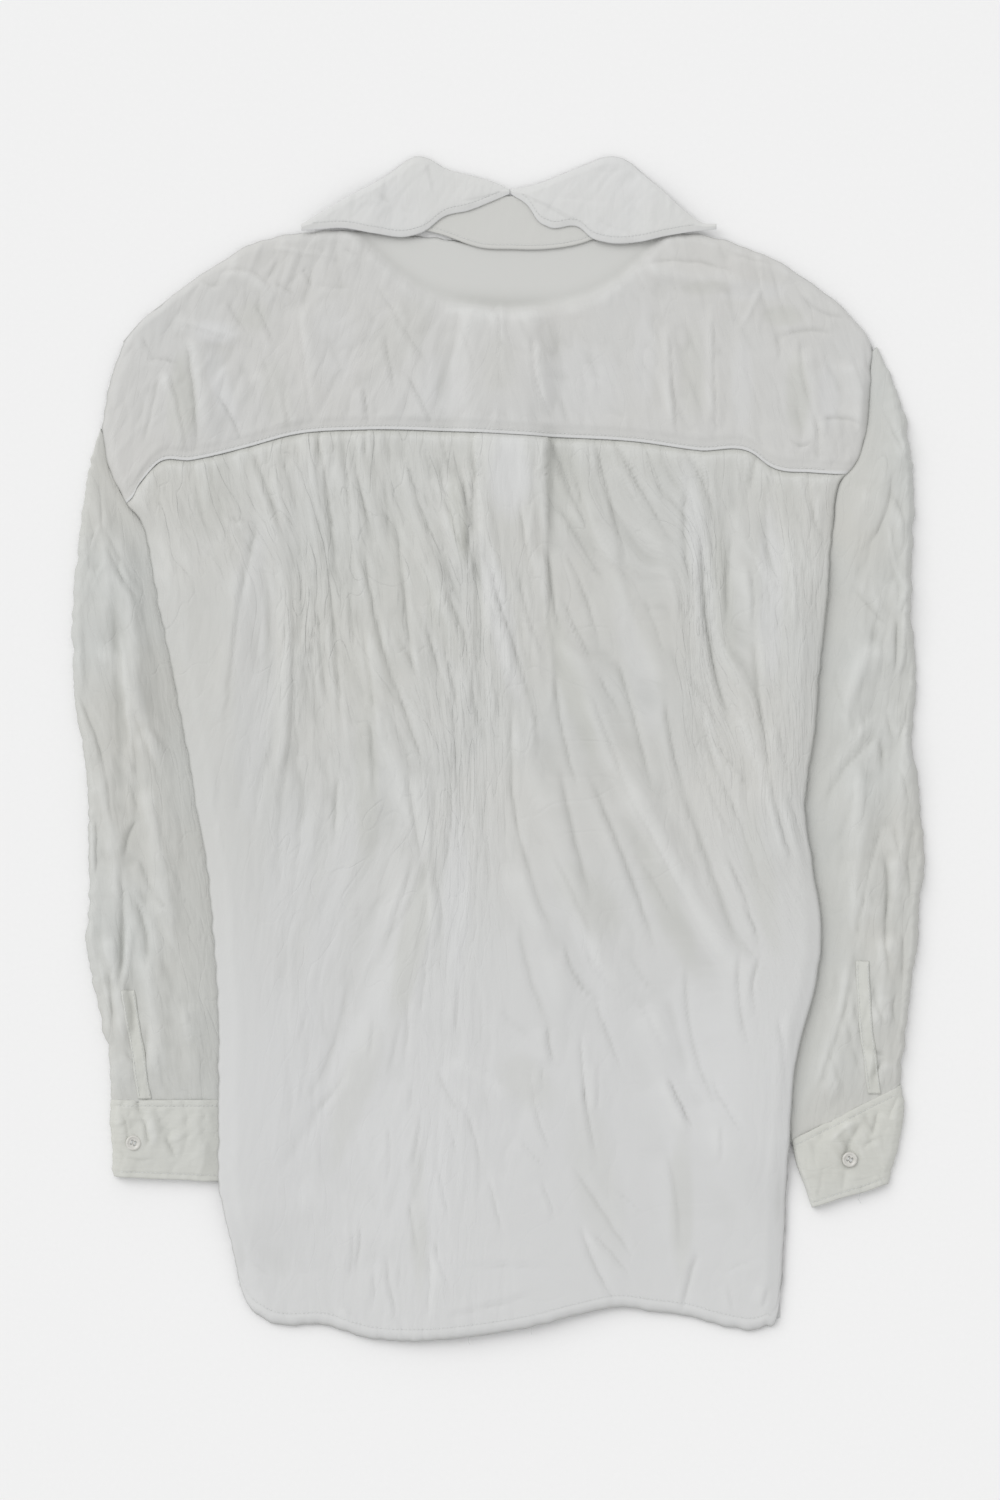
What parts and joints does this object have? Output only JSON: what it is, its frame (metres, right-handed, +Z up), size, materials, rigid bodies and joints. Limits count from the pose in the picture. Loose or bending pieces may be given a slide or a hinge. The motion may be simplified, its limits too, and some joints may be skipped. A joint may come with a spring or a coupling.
{
  "type": "crumpled shirt",
  "caption": "Long-sleeved light cotton shirt laid flat on its front, back up, with a yoke, box pleat, barrel cuffs and open collar, creased all over.",
  "frame": {"origin": "on the surface that the shirt lies on, midway across its sleeves and midway between its hem and its collar", "axes": "+Y from the hem to the collar, +X to the picture's right, +Z up from the surface, out of the shirt's back"},
  "size_m": [0.6148, 0.8548, 0.0191],
  "materials": {
    "body_cloth": "matt crinkled white cotton voile",
    "sleeve_cloth": "matt crinkled white cotton voile, warmer where it lies in two layers",
    "collar_cloth": "matt white cotton in two layers, lightly creased",
    "button_shell": "milky white shirt button with four holes"
  },
  "bodies": {
    "root": {"back": "body_cloth", "yoke": "body_cloth", "front_left": "body_cloth", "front_right": "body_cloth", "sleeve_left": "sleeve_cloth", "sleeve_right": "sleeve_cloth", "placket_left": "sleeve_cloth", "placket_right": "sleeve_cloth", "cuff_left": "sleeve_cloth", "cuff_right": "sleeve_cloth", "collar_stand": "collar_cloth", "collar_left": "collar_cloth", "collar_right": "collar_cloth", "button_cuff_left": "button_shell", "button_cuff_right": "button_shell", "button_front_1": "button_shell", "button_front_2": "button_shell", "button_front_3": "button_shell", "button_front_4": "button_shell", "button_front_5": "button_shell", "button_front_6": "button_shell", "button_front_7": "button_shell"}
  },
  "joints": []
}
